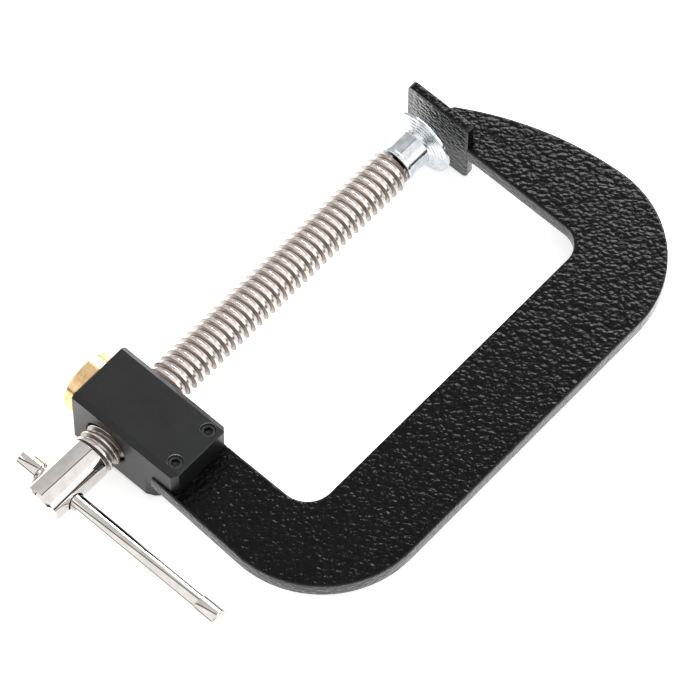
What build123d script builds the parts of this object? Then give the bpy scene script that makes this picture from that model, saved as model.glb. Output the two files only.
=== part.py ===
from build123d import *
import math
import os

os.makedirs("parts", exist_ok=True)

# A one-handed quick-adjusting C clamp, in millimetres.
# The origin is the middle of the fixed jaw's clamping face, on the spindle's axis.
# +Y runs along the spindle from the handle to the fixed jaw, +X from the spindle to the
# frame's spine, and +Z is up when the clamp lies flat.

# ---------------------------------------------------------------- frame plate
jaw_opening = 122.3          # nut block to fixed jaw, along the spindle
throat_depth = 61.0          # spindle axis to the spine's inner edge
spine_width = 30.5
plate_thickness = 6.0
plate_edge_round = 0.8
inner_heel_radius = 9.0      # inner corner by the nut block
inner_toe_radius = 8.0       # inner corner by the fixed jaw
outer_heel_radius = 35.0
shoulder_radius = 36.5       # outer corner above the spine
arm_tip_height = 8.618       # fixed jaw's face to the end of the arm's outer edge
crown_height = 25.9          # fixed jaw's face to the top of the arm
crown_join_angle = 93.0      # where the crown meets the shoulder, in degrees from +X
arm_tip_radius = 3.0
arm_tip_overlap = 0.5        # how far the arm's tip passes the spindle's axis
lower_arm_inset = 0.6        # lower arm's inner edge, in from the block's back face
lower_arm_proud = 0.6        # lower arm's outer edge, out from the block's front face
lower_arm_splay = 2.5        # degrees that the lower arm's outer edge leans outwards

# ---------------------------------------------------------------- fixed jaw and its welds
jaw_reach_left = 10.7        # from the spindle's axis, away from the spine
jaw_reach_right = 13.8       # from the spindle's axis, towards the spine
jaw_height = 28.0
jaw_thickness = 3.0
jaw_corner_radius = 2.2
jaw_edge_round = 0.4
weld_leg = 2.0
weld_throat = 1.2            # how far the bead's hollow face stays from its corner

# ---------------------------------------------------------------- nut block
block_width = 23.0           # along the spindle
block_height = 27.0
block_reach_left = 13.1      # spindle axis to the button's end
block_reach_right = 28.4     # spindle axis to the lip's end
shoulder_reach = 19.0        # spindle axis to the shoulder that the plate butts against
block_chamfer = 1.8          # long edges, and upright edges of the lip
block_end_chamfer = 0.4      # short edges round the ends
block_toe_chamfer = 3.0      # upright edges below the plate
spindle_bore_clearance = 0.5
bore_mouth_chamfer = 0.4

# ---------------------------------------------------------------- frame screws
set_screw_diameter = 5.0
set_screw_length = 15.0
set_screw_recess = 0.7       # below the block's top face
set_screw_spacing = 14.1
set_screw_from_end = 3.9     # lip's end to the screws' centres
hex_across_flats = 2.5
hex_depth = 2.5
screw_end_chamfer = 0.5

# ---------------------------------------------------------------- spindle
thread_diameter = 14.0
thread_pitch = 2.86
thread_depth = 1.75
thread_crest_width = 1.0
thread_flank_angle = 15.0    # each flank, from the radius
thread_flank_clearance = 0.2
thread_radial_clearance = 0.25
thread_crest_relief = 0.05   # the crests stand this much below the head's surface
thread_beyond_block = 6.5    # block's front face to the head, with the clamp as it is drawn
thread_tip_chamfer = 1.0
ridge_sink = 0.2             # how deep the ridge's foot sits in the core
tap_overrun = 8.6            # the half nut's cut passes the block's faces by this much
head_length = 22.0
head_chamfer = 0.8
cross_hole_from_end = 8.5
cross_hole_clearance = 0.4   # on the handle bar's radius
spindle_tip_to_jaw = 18.4    # with the clamp as it is drawn

# ---------------------------------------------------------------- ball stud and swivel pad
pad_gap = 5.0                # swivel pad to fixed jaw, with the clamp as it is drawn
ball_radius = 3.8
ball_to_face = 7.8           # ball's centre to the pad's face
stud_neck_radius = 2.2
stud_collar_radius = 3.6
stud_collar_thickness = 1.0
stud_shank_radius = 2.5
stud_shank_length = 9.0
swivel_clearance = 0.08      # running fits of the ball and the shank
stud_end_clearance = 0.1
pad_length = 12.4
pad_face_radius = 11.5
pad_rim_thickness = 1.3
pad_dish = 1.7               # rise of the flange's back, from rim to neck
pad_neck_radius = 6.0
pad_mouth_radius = 6.4
pad_mouth_band = 1.3         # length of the wider ring round the socket's mouth
pad_groove_width = 0.4
pad_groove_depth = 0.35
socket_lip_radius = 3.3
socket_mouth_radius = 5.1
pad_chamfer = 0.3

# ---------------------------------------------------------------- release button and spring
button_radius = 10.2
button_proud = 6.1           # standing out of the block
button_travel = 2.2
button_clearance = 0.08
button_chamfer = 0.7
button_wall = 2.9            # behind the half nut's thread
spring_wire = 0.8
spring_radius = 4.0          # to the middle of the wire
spring_turns = 3
spring_length = 5.5
spring_end_clearance = 0.05

# ---------------------------------------------------------------- handle bar
bar_radius = 2.7
bar_length = 79.0
bar_cap_radius = 3.15
bar_cap_length = 7.8
bar_cap_socket = 6.5
bar_cap_chamfer = 0.35
bar_end_gap = 0.2            # bar cap to spindle head, with the bar pushed home

# ---------------------------------------------------------------- worked-out places
block_back = -jaw_opening
block_front = block_back - block_width
block_middle = (block_back + block_front) / 2
plate_top = plate_thickness / 2
thread_radius = thread_diameter / 2
root_radius = thread_radius - thread_depth
tip_y = -spindle_tip_to_jaw
thread_start_y = block_front - thread_beyond_block
thread_length = tip_y - thread_start_y
head_end_y = thread_start_y - head_length
cross_hole_y = head_end_y + cross_hole_from_end
pad_face_y = -pad_gap
ball_y = pad_face_y - ball_to_face
pad_mouth_y = pad_face_y - pad_length
button_end_x = thread_radius + thread_radial_clearance + button_wall
button_bore_end_x = button_end_x + spring_length
screw_x = block_reach_right - set_screw_from_end


def arc_point(centre, radius, degrees):
    """The point on a circle at an angle from +X."""
    angle = math.radians(degrees)
    return (centre[0] + radius * math.cos(angle), centre[1] + radius * math.sin(angle))


def thread_ridge(start_y, turns, outer_radius, widening):
    """A helical ridge about the spindle's axis, in step with every other ridge made here."""
    path = Helix(
        pitch=thread_pitch,
        height=turns * thread_pitch,
        radius=root_radius,
        center=(0, start_y, 0),
        direction=(0, 1, 0),
    )
    outwards = (path @ 0) - Vector(0, start_y, 0)
    flank = math.tan(math.radians(thread_flank_angle))
    crest = thread_crest_width / 2 + widening
    foot = crest + (outer_radius - root_radius + ridge_sink) * flank
    with BuildPart() as ridge:
        with BuildSketch(Plane(path @ 0, x_dir=outwards, z_dir=path % 0)):
            with BuildLine():
                Polyline(
                    (-ridge_sink, -foot),
                    (outer_radius - root_radius, -crest),
                    (outer_radius - root_radius, crest),
                    (-ridge_sink, foot),
                    close=True,
                )
            make_face()
        sweep(path=path, is_frenet=True)
    return ridge.part


# ---------------------------------------------------------------- frame plate
outer_x = throat_depth + spine_width
lower_inner_y = block_back - lower_arm_inset
lower_outer_y = block_front - lower_arm_proud
heel_y = lower_outer_y - (outer_x - shoulder_reach) * math.tan(math.radians(lower_arm_splay))
shoulder_centre = (outer_x - shoulder_radius, crown_height - shoulder_radius)
crown_join = arc_point(shoulder_centre, shoulder_radius, crown_join_angle)
tip_x = -arm_tip_overlap
# The crown leaves the shoulder along its tangent and ends at the tip's height.
crown_chord = Vector(tip_x - crown_join[0], arm_tip_height - crown_join[1])
join_outwards = Vector(*arc_point((0, 0), 1, crown_join_angle))
crown_radius = -crown_chord.dot(crown_chord) / (2 * crown_chord.dot(join_outwards))
crown_centre = arc_point(shoulder_centre, shoulder_radius - crown_radius, crown_join_angle)
crown_tip_angle = math.degrees(math.acos((tip_x - crown_centre[0]) / crown_radius))
crown_tip = arc_point(crown_centre, crown_radius, crown_tip_angle)
crown_middle = arc_point(crown_centre, crown_radius, (crown_tip_angle + crown_join_angle) / 2)
shoulder_middle = arc_point(shoulder_centre, shoulder_radius, crown_join_angle / 2)
shoulder_end = (outer_x, shoulder_centre[1])

with BuildPart() as frame_plate:
    with BuildSketch(Plane.XY.offset(-plate_top)) as outline:
        with BuildLine():
            Polyline(
                crown_tip,
                (tip_x, jaw_thickness),
                (jaw_reach_right, jaw_thickness),
                (jaw_reach_right, 0),
                (throat_depth, 0),
                (throat_depth, lower_inner_y),
                (shoulder_reach, lower_inner_y),
                (shoulder_reach, lower_outer_y),
                (outer_x, heel_y),
                shoulder_end,
            )
            ThreePointArc(shoulder_end, shoulder_middle, crown_join)
            ThreePointArc(crown_join, crown_middle, crown_tip)
        make_face()
        corners = outline.vertices()
        fillet(corners.sort_by_distance((throat_depth, lower_inner_y))[0], inner_heel_radius)
        fillet(outline.vertices().sort_by_distance((throat_depth, 0))[0], inner_toe_radius)
        fillet(outline.vertices().sort_by_distance((outer_x, heel_y))[0], outer_heel_radius)
        fillet(outline.vertices().sort_by_distance(crown_tip)[0], arm_tip_radius)
    extrude(amount=plate_thickness)
    rims = frame_plate.faces().filter_by(Axis.Z).edges()
    fillet(
        rims.filter_by(
            lambda edge: not (
                edge.center().X < shoulder_reach + 1 and edge.center().Y < lower_inner_y + 1
            )
            and not (edge.center().X < jaw_reach_right + 1 and edge.center().Y < jaw_thickness + 1)
            and not edge.center().X < tip_x + 1
        ),
        plate_edge_round,
    )
    with BuildSketch(Plane.XY.offset(plate_top)):
        with Locations((screw_x, block_middle)):
            with GridLocations(0, set_screw_spacing, 1, 2):
                Circle(set_screw_diameter / 2)
    extrude(amount=-plate_thickness, mode=Mode.SUBTRACT)
frame_plate.part.label = "frame_plate"
export_step(frame_plate.part, "parts/frame_plate.step")

# ---------------------------------------------------------------- fixed jaw
with BuildPart() as fixed_jaw:
    with BuildSketch(Plane.XZ):
        with Locations(((jaw_reach_right - jaw_reach_left) / 2, 0)):
            RectangleRounded(jaw_reach_left + jaw_reach_right, jaw_height, jaw_corner_radius)
    extrude(amount=-jaw_thickness)
    fillet(fixed_jaw.faces().filter_by(Axis.Y).edges(), jaw_edge_round)
fixed_jaw.part.label = "fixed_jaw"
export_step(fixed_jaw.part, "parts/fixed_jaw.step")

# ---------------------------------------------------------------- welds behind the jaw
with BuildPart() as jaw_welds:
    with BuildSketch(Plane.YZ.offset(tip_x + arm_tip_radius)) as bead:
        for side in (1, -1):
            corner = (jaw_thickness, side * plate_top)
            hollow = (jaw_thickness + weld_throat / 2, side * (plate_top + weld_throat / 2))
            along = (jaw_thickness + weld_leg, side * plate_top)
            up = (jaw_thickness, side * (plate_top + weld_leg))
            with BuildLine():
                Polyline(up, corner, along)
                ThreePointArc(along, hollow, up)
            make_face()
    extrude(amount=jaw_reach_right - jaw_corner_radius - tip_x - arm_tip_radius)
jaw_welds.part.label = "jaw_welds"
export_step(jaw_welds.part, "parts/jaw_welds.step")

# ---------------------------------------------------------------- nut block
with BuildPart() as nut_block:
    with BuildSketch(Plane.YZ.offset(-block_reach_left)):
        with Locations((block_middle, 0)):
            Rectangle(block_width, block_height)
    extrude(amount=block_reach_left + block_reach_right)
    chamfer(nut_block.edges().filter_by(Axis.X), block_chamfer)
    lip_end = nut_block.faces().sort_by(Axis.X)[-1]
    chamfer(lip_end.edges().filter_by(Axis.Z), block_chamfer)
    ends = nut_block.edges().filter_by(Axis.Y)
    chamfer(
        ends.filter_by_position(Axis.X, -block_reach_left - 0.1, -block_reach_left + 0.1)
        + ends.filter_by_position(Axis.X, block_reach_right - 0.1, block_reach_right + 0.1),
        block_end_chamfer,
    )
    with BuildSketch(Plane.XY.offset(plate_top)) as step:
        with Locations((shoulder_reach, block_middle)):
            Rectangle(
                block_reach_right - shoulder_reach,
                block_width,
                align=(Align.MIN, Align.CENTER),
            )
    extrude(amount=-block_height, mode=Mode.SUBTRACT)
    with BuildSketch(Plane.XY.offset(-plate_top)) as toe:
        for side in (1, -1):
            face_y = block_middle + side * block_width / 2
            with BuildLine():
                Polyline(
                    (shoulder_reach, face_y),
                    (shoulder_reach - block_toe_chamfer, face_y),
                    (shoulder_reach, face_y - side * block_toe_chamfer),
                    close=True,
                )
            make_face()
    extrude(amount=-block_height, mode=Mode.SUBTRACT)
    with BuildSketch(Plane.XZ.offset(-block_back)):
        Circle(thread_radius + spindle_bore_clearance)
    extrude(amount=block_width, mode=Mode.SUBTRACT)
    mouths = nut_block.edges().filter_by(GeomType.CIRCLE)
    chamfer(
        mouths.filter_by(lambda edge: abs(edge.radius - thread_radius - spindle_bore_clearance) < 0.01),
        bore_mouth_chamfer,
    )
    with BuildSketch(Plane.YZ.offset(-block_reach_left)):
        with Locations((block_middle, 0)):
            Circle(button_radius + button_clearance)
    extrude(amount=block_reach_left + button_bore_end_x, mode=Mode.SUBTRACT)
    with BuildSketch(Plane.XY.offset(block_height / 2)):
        with Locations((screw_x, block_middle)):
            with GridLocations(0, set_screw_spacing, 1, 2):
                Circle(set_screw_diameter / 2)
    extrude(amount=-block_height / 2, mode=Mode.SUBTRACT)
nut_block.part.label = "nut_block"
export_step(nut_block.part, "parts/nut_block.step")

# ---------------------------------------------------------------- frame screws
screw_top = block_height / 2 - set_screw_recess
with BuildPart() as frame_screws:
    with BuildSketch(Plane.XY.offset(screw_top)):
        with Locations((screw_x, block_middle)):
            with GridLocations(0, set_screw_spacing, 1, 2):
                Circle(set_screw_diameter / 2)
    extrude(amount=-set_screw_length)
    chamfer(frame_screws.edges().filter_by(GeomType.CIRCLE), screw_end_chamfer)
    with BuildSketch(Plane.XY.offset(screw_top)):
        with Locations((screw_x, block_middle)):
            with GridLocations(0, set_screw_spacing, 1, 2):
                RegularPolygon(hex_across_flats / 2, 6, major_radius=False)
    extrude(amount=-hex_depth, mode=Mode.SUBTRACT)
frame_screws.part.label = "frame_screws"
export_step(frame_screws.part, "parts/frame_screws.step")

# ---------------------------------------------------------------- spindle
turns = math.ceil(thread_length / thread_pitch) + 1
crest_radius = thread_radius - thread_crest_relief
ridge = thread_ridge(thread_start_y - thread_pitch / 2, turns, crest_radius, 0)
with BuildPart() as spindle:
    with BuildSketch(Plane.XZ.offset(-thread_start_y)):
        Circle(root_radius)
    extrude(amount=-thread_length - thread_pitch)
    add(ridge)
    with BuildSketch(Plane.XY):
        with BuildLine():
            Polyline(
                (0, tip_y),
                (thread_radius - thread_tip_chamfer, tip_y),
                (thread_radius, tip_y - thread_tip_chamfer),
                (2 * thread_radius, tip_y - thread_tip_chamfer),
                (2 * thread_radius, tip_y + 3 * thread_pitch),
                (0, tip_y + 3 * thread_pitch),
                close=True,
            )
        make_face()
    revolve(axis=Axis.Y, mode=Mode.SUBTRACT)
    with BuildSketch(Plane.XY):
        with BuildLine():
            Polyline(
                (0, head_end_y),
                (thread_radius - head_chamfer, head_end_y),
                (thread_radius, head_end_y + head_chamfer),
                (thread_radius, thread_start_y),
                (0, thread_start_y),
                close=True,
            )
        make_face()
    revolve(axis=Axis.Y)
    with BuildSketch(Plane.YZ):
        with Locations((cross_hole_y, 0)):
            Circle(bar_radius + cross_hole_clearance)
    extrude(amount=thread_diameter, both=True, mode=Mode.SUBTRACT)
    with BuildSketch(Plane.XZ.offset(-tip_y)):
        Circle(stud_shank_radius + swivel_clearance)
    extrude(amount=stud_shank_length + stud_end_clearance, mode=Mode.SUBTRACT)
spindle.part.label = "spindle"
export_step(spindle.part, "parts/spindle.step")

# ---------------------------------------------------------------- ball stud
collar_y = tip_y + stud_end_clearance
neck_join = ball_y - math.sqrt(ball_radius**2 - stud_neck_radius**2)
with BuildPart() as ball_stud:
    with BuildSketch(Plane.XY):
        with BuildLine():
            Polyline(
                (0, ball_y + ball_radius),
                (0, tip_y - stud_shank_length),
                (stud_shank_radius, tip_y - stud_shank_length),
                (stud_shank_radius, collar_y),
                (stud_collar_radius, collar_y),
                (stud_collar_radius, collar_y + stud_collar_thickness),
                (stud_neck_radius, collar_y + stud_collar_thickness),
                (stud_neck_radius, neck_join),
            )
            ThreePointArc((stud_neck_radius, neck_join), (ball_radius, ball_y), (0, ball_y + ball_radius))
        make_face()
    revolve(axis=Axis.Y)
ball_stud.part.label = "ball_stud"
export_step(ball_stud.part, "parts/ball_stud.step")

# ---------------------------------------------------------------- swivel pad
socket_radius = ball_radius + swivel_clearance
lip_y = ball_y - math.sqrt(socket_radius**2 - socket_lip_radius**2)
rim_y = pad_face_y - pad_rim_thickness
dish_y = rim_y - pad_dish
band_y = pad_mouth_y + pad_mouth_band
with BuildPart() as swivel_pad:
    with BuildSketch(Plane.XY):
        with BuildLine():
            Polyline(
                (0, ball_y + socket_radius),
                (0, pad_face_y),
                (pad_face_radius - pad_chamfer, pad_face_y),
                (pad_face_radius, pad_face_y - pad_chamfer),
                (pad_face_radius, rim_y),
                (pad_neck_radius, dish_y),
                (pad_neck_radius, band_y + pad_groove_width),
                (pad_mouth_radius - pad_groove_depth, band_y),
                (pad_mouth_radius, band_y),
                (pad_mouth_radius, pad_mouth_y + pad_chamfer),
                (pad_mouth_radius - pad_chamfer, pad_mouth_y),
                (socket_mouth_radius, pad_mouth_y),
                (socket_lip_radius, lip_y),
            )
            ThreePointArc((socket_lip_radius, lip_y), (socket_radius, ball_y), (0, ball_y + socket_radius))
        make_face()
    revolve(axis=Axis.Y)
swivel_pad.part.label = "swivel_pad"
export_step(swivel_pad.part, "parts/swivel_pad.step")

# ---------------------------------------------------------------- release button with its half nut
nut_turns = math.ceil(2 * button_radius / thread_pitch) + 2
turns_before = math.floor((block_middle - button_radius - thread_start_y) / thread_pitch) - 1
groove = thread_ridge(
    thread_start_y + (turns_before - 0.5) * thread_pitch,
    nut_turns,
    thread_radius + thread_radial_clearance,
    thread_flank_clearance,
)
with BuildPart() as tap:
    with BuildSketch(Plane.XZ.offset(-block_front + tap_overrun)):
        Circle(root_radius + thread_radial_clearance)
    extrude(amount=-block_width - 2 * tap_overrun)
    add(groove)

with BuildPart() as release_button:
    with BuildSketch(Plane.YZ.offset(-block_reach_left - button_proud)):
        with Locations((block_middle, 0)):
            Circle(button_radius)
    extrude(amount=block_reach_left + button_proud + button_end_x)
    chamfer(release_button.edges().filter_by(GeomType.CIRCLE).sort_by(Axis.X)[0], button_chamfer)
    add(tap.part, mode=Mode.SUBTRACT)
    with BuildSketch(Plane.XZ.offset(-block_back)):
        with Locations((-button_travel, 0)):
            Circle(thread_radius + thread_radial_clearance)
    extrude(amount=block_width, mode=Mode.SUBTRACT)
release_button.part.label = "release_button"
export_step(release_button.part, "parts/release_button.step")

# ---------------------------------------------------------------- button spring
coil_start_x = button_end_x + spring_end_clearance + spring_wire / 2
coil_length = spring_length - 2 * spring_end_clearance - spring_wire
coil = Helix(
    pitch=coil_length / spring_turns,
    height=coil_length,
    radius=spring_radius,
    center=(coil_start_x, block_middle, 0),
    direction=(1, 0, 0),
)
with BuildPart() as button_spring:
    with BuildSketch(Plane(coil @ 0, z_dir=coil % 0)):
        Circle(spring_wire / 2)
    sweep(path=coil, is_frenet=True)
button_spring.part.label = "button_spring"
export_step(button_spring.part, "parts/button_spring.step")

# ---------------------------------------------------------------- handle bar
bar_left_x = -thread_radius - bar_end_gap - bar_cap_length
bar_right_x = bar_left_x + bar_length
socket_floor = bar_cap_length - bar_cap_socket
with BuildPart() as tommy_bar:
    with BuildSketch(Plane.YZ.offset(bar_left_x + socket_floor)):
        with Locations((cross_hole_y, 0)):
            Circle(bar_radius)
    extrude(amount=bar_length - 2 * socket_floor)
tommy_bar.part.label = "tommy_bar"
export_step(tommy_bar.part, "parts/tommy_bar.step")

for cap_name, cap_x, socket_x in (
    ("bar_cap_far", bar_left_x, bar_left_x + socket_floor),
    ("bar_cap_near", bar_right_x - bar_cap_length, bar_right_x - bar_cap_length),
):
    with BuildPart() as bar_cap:
        with BuildSketch(Plane.YZ.offset(cap_x)):
            with Locations((cross_hole_y, 0)):
                Circle(bar_cap_radius)
        extrude(amount=bar_cap_length)
        chamfer(bar_cap.edges().filter_by(GeomType.CIRCLE), bar_cap_chamfer)
        with BuildSketch(Plane.YZ.offset(socket_x)):
            with Locations((cross_hole_y, 0)):
                Circle(bar_radius)
        extrude(amount=bar_cap_socket, mode=Mode.SUBTRACT)
    bar_cap.part.label = cap_name
    export_step(bar_cap.part, f"parts/{cap_name}.step")
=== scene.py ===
import logging
import math
from dataclasses import dataclass, field
from enum import Enum
from typing import Any, Callable, Optional, Sequence

import bmesh
import bpy
import numpy as np
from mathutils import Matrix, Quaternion, Vector


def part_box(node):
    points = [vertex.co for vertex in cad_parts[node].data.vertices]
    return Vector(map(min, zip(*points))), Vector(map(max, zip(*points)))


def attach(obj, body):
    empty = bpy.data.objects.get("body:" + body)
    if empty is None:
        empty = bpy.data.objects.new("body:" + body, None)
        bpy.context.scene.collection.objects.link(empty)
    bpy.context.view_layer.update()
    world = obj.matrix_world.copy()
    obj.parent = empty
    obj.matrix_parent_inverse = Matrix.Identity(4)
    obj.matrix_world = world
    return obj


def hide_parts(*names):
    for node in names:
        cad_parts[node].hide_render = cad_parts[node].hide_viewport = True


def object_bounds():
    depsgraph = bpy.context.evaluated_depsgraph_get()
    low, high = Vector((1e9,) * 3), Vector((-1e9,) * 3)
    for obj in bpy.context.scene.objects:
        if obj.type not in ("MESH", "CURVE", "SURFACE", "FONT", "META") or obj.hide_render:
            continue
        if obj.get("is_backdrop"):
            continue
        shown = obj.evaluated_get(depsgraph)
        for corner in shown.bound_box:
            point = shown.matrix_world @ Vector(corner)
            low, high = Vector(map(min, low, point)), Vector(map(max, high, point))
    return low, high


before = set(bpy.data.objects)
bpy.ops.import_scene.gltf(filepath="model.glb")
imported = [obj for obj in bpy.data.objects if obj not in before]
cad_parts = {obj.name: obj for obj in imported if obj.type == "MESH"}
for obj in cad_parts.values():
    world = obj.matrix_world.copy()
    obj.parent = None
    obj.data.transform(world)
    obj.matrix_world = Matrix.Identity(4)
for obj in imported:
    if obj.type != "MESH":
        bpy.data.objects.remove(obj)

LOG = logging.getLogger("c_clamp")
MM = 0.001
TINY = 1e-6
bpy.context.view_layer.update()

Points = np.ndarray
Faces = np.ndarray


# ------------------------------------------------------------------ small helpers
class Axis(Enum):
    """The row axis that a turned piece is turned about: its own index and the two across it."""

    X = (0, 1, 2)
    Y = (1, 2, 0)
    Z = (2, 0, 1)


def box_mm(node: str) -> tuple[Points, Points]:
    """Gives a CAD node's box in millimetres.

    Args:
        node: the CAD node's name.

    Returns:
        Its lowest and highest corners.
    """
    low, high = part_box(node)
    return np.array(low) / MM, np.array(high) / MM


def linear(hex_colour: str) -> tuple[float, float, float, float]:
    """Turns an sRGB hex colour into the linear colour that a socket takes.

    Args:
        hex_colour: such as "#1b1b1c".

    Returns:
        Red, green, blue and alpha, linear.
    """
    srgb = np.array([int(hex_colour[i : i + 2], 16) / 255 for i in (1, 3, 5)])
    flat = np.where(srgb <= 0.04045, srgb / 12.92, ((srgb + 0.055) / 1.055) ** 2.4)
    return (float(flat[0]), float(flat[1]), float(flat[2]), 1.0)


def arc(centre: Sequence[float], radius: float, start: float, end: float, steps: int) -> Points:
    """Points on a circle: the centre plus the radius times (cos, sin) of evenly spaced angles.

    Args:
        centre: the circle's centre.
        radius: its radius.
        start: the first angle, in degrees from +X.
        end: the last angle, in degrees.
        steps: how many stretches the arc has.

    Returns:
        steps + 1 points.
    """
    angle = np.radians(np.linspace(start, end, steps + 1))
    return np.stack((centre[0] + radius * np.cos(angle), centre[1] + radius * np.sin(angle)), 1)


def rounded(corners: Sequence[Sequence[float]], steps: int = 6, closed: bool = True) -> Points:
    """Rounds the corners of a path.

    Each corner gives way to the arc that touches both of its sides. The arc's middle lies on
    the corner's bisector, at radius over the sine of half the corner's angle, and its points
    turn evenly from one side's touching point to the other's.

    Args:
        corners: rows of (first, second, radius), in order.
        steps: how many stretches each arc has.
        closed: whether the path's end joins its start. An open path keeps its two ends.

    Returns:
        The rounded path's points, with no two neighbours alike.
    """
    table = np.array(corners, float)
    point, radius = table[:, :2], table[:, 2:3]
    back, ahead = np.roll(point, 1, 0) - point, np.roll(point, -1, 0) - point
    back /= np.linalg.norm(back, axis=1, keepdims=True)
    ahead /= np.linalg.norm(ahead, axis=1, keepdims=True)
    half = np.arccos(np.clip(np.sum(back * ahead, 1, keepdims=True), -1, 1)) / 2
    half = np.clip(half, TINY, math.pi / 2 - TINY)
    middle = back + ahead
    middle /= np.maximum(np.linalg.norm(middle, axis=1, keepdims=True), TINY)
    centre = point + middle * radius / np.sin(half)
    first = point + back * radius / np.tan(half) - centre
    last = point + ahead * radius / np.tan(half) - centre
    turn = math.pi - 2 * half
    share = np.linspace(0, 1, steps + 1)[None, :, None]
    swing = turn[:, None, :]
    spread = np.sin((1 - share) * swing) * first[:, None, :]
    spread = spread + np.sin(share * swing) * last[:, None, :]
    path = centre[:, None, :] + spread / np.maximum(np.sin(swing), TINY)
    path = np.where(radius[:, None, :] > 0, path, point[:, None, :])
    if not closed:
        path[0], path[-1] = point[0], point[-1]
    path = path.reshape(-1, 2)
    gap = np.linalg.norm(path - np.roll(path, 1, 0), axis=1)
    keep = gap > 1e-5
    if not closed:
        keep[0] = True
    return path[keep]


def grid_faces(rows: int, columns: int, wrap_rows: bool = False, wrap_columns: bool = True) -> Faces:
    """Quads between neighbouring points of a grid stored row by row.

    Args:
        rows: how many rows the grid has.
        columns: how many columns.
        wrap_rows: whether the last row joins the first.
        wrap_columns: whether the last column joins the first.

    Returns:
        An array of quads.
    """
    row = np.arange(rows if wrap_rows else rows - 1)
    column = np.arange(columns if wrap_columns else columns - 1)
    r, c = np.meshgrid(row, column, indexing="ij")
    r_next, c_next = (r + 1) % rows, (c + 1) % columns
    quads = (r * columns + c, r * columns + c_next, r_next * columns + c_next, r_next * columns + c)
    return np.stack(quads, -1).reshape(-1, 4)


def make_object(
    name: str, points: Points, faces: list[list[int]], sharp: float = 32.0, merge: bool = True
) -> bpy.types.Object:
    """Makes a mesh object at the origin from points in millimetres.

    Doubles are merged, so that poles and seams close, and all faces are turned outwards.

    Args:
        name: the piece's name.
        points: rows of (x, y, z), in millimetres.
        faces: lists of point numbers.
        sharp: edges that turn by more than this, in degrees, stay sharp.
        merge: whether to merge doubles.

    Returns:
        The new object.
    """
    mesh = bpy.data.meshes.new(name)
    mesh.from_pydata((points * MM).tolist(), [], faces)
    tidy_mesh(mesh, sharp, merge)
    piece = bpy.data.objects.new(name, mesh)
    bpy.context.scene.collection.objects.link(piece)
    return piece


def tidy_mesh(mesh: bpy.types.Mesh, sharp: float, merge: bool = True, flat_angle: float = 0.0) -> None:
    """Merges doubles, turns faces outwards and marks which edges stay sharp.

    Args:
        mesh: the mesh to work on.
        sharp: edges that turn by more than this, in degrees, stay sharp.
        merge: whether to merge doubles.
        flat_angle: faces that meet at less than this, in degrees, become one.
    """
    work = bmesh.new()
    work.from_mesh(mesh)
    if merge:
        bmesh.ops.remove_doubles(work, verts=work.verts, dist=2e-7)
        bmesh.ops.dissolve_degenerate(work, dist=1e-8, edges=work.edges)
    if flat_angle:
        angle = math.radians(flat_angle)
        bmesh.ops.dissolve_limit(work, angle_limit=angle, verts=work.verts, edges=work.edges)
    bmesh.ops.recalc_face_normals(work, faces=work.faces)
    work.to_mesh(mesh)
    work.free()
    mesh.shade_smooth()
    mesh.set_sharp_from_angle(angle=math.radians(sharp))
    mesh.update()


def turned(
    name: str, profile: Points, axis: Axis, centre: Sequence[float], columns: int = 96, loop: bool = False
) -> bpy.types.Object:
    """Turns a profile about an axis.

    A profile point (a, r) and an angle t give the point at a along the axis, r cos t along the
    first direction across it and r sin t along the second.

    Args:
        name: the piece's name.
        profile: rows of (distance along the axis, radius), in millimetres.
        axis: the axis to turn about.
        centre: a point on the axis, as (x, y, z). Its own axis's value isn't used.
        columns: how many points there are round the axis.
        loop: whether the profile's end joins its start, as on a ring.

    Returns:
        The new object.
    """
    angle = np.linspace(0, 2 * math.pi, columns, endpoint=False)
    along, first, second = axis.value
    points = np.empty((len(profile), columns, 3))
    points[:, :, along] = profile[:, 0:1]
    points[:, :, first] = centre[first] + profile[:, 1:2] * np.cos(angle)
    points[:, :, second] = centre[second] + profile[:, 1:2] * np.sin(angle)
    faces = grid_faces(len(profile), columns, wrap_rows=loop).tolist()
    return make_object(name, points.reshape(-1, 3), faces)


def slab(
    name: str,
    outline: Points,
    low: float,
    high: float,
    rounding: float,
    place: Callable[[Points, Points], Points],
    steps: int = 5,
) -> bpy.types.Object:
    """Makes a flat plate with rounded edges from its outline.

    Each ring is the outline moved inwards along its normals. Ring heights and insets follow a
    quarter circle at both faces, and a narrow flat ring inside each keeps the faces' shading
    flat.

    Args:
        name: the piece's name.
        outline: the plate's closed outline.
        low: the height of its lower face.
        high: the height of its upper face.
        rounding: the edges' radius.
        place: turns outline points and heights into (x, y, z).
        steps: how many stretches each rounded edge has.

    Returns:
        The new object.
    """
    ahead, behind = np.roll(outline, -1, 0), np.roll(outline, 1, 0)
    area = np.sum(outline[:, 0] * ahead[:, 1] - ahead[:, 0] * outline[:, 1])
    tangent = ahead - behind
    tangent /= np.linalg.norm(tangent, axis=1, keepdims=True)
    inward = np.stack((-tangent[:, 1], tangent[:, 0]), 1) * np.sign(area)
    turn = np.linspace(0, math.pi / 2, steps + 1)
    inset = rounding * (1 - np.sin(turn))
    drop = rounding * (1 - np.cos(turn))
    insets = np.concatenate(([1.5 * rounding], inset, inset[::-1], [1.5 * rounding]))
    heights = np.concatenate(([high], high - drop, low + drop[::-1], [low]))
    rings = outline[None] + inward[None] * insets[:, None, None]
    count = len(outline)
    flat = rings.reshape(-1, 2)
    points = place(flat, np.repeat(heights, count))
    faces = grid_faces(len(insets), count).tolist()
    last = (len(insets) - 1) * count
    faces.append(list(range(count)))
    faces.append(list(range(last, last + count)))
    return make_object(name, points, faces)


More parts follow.
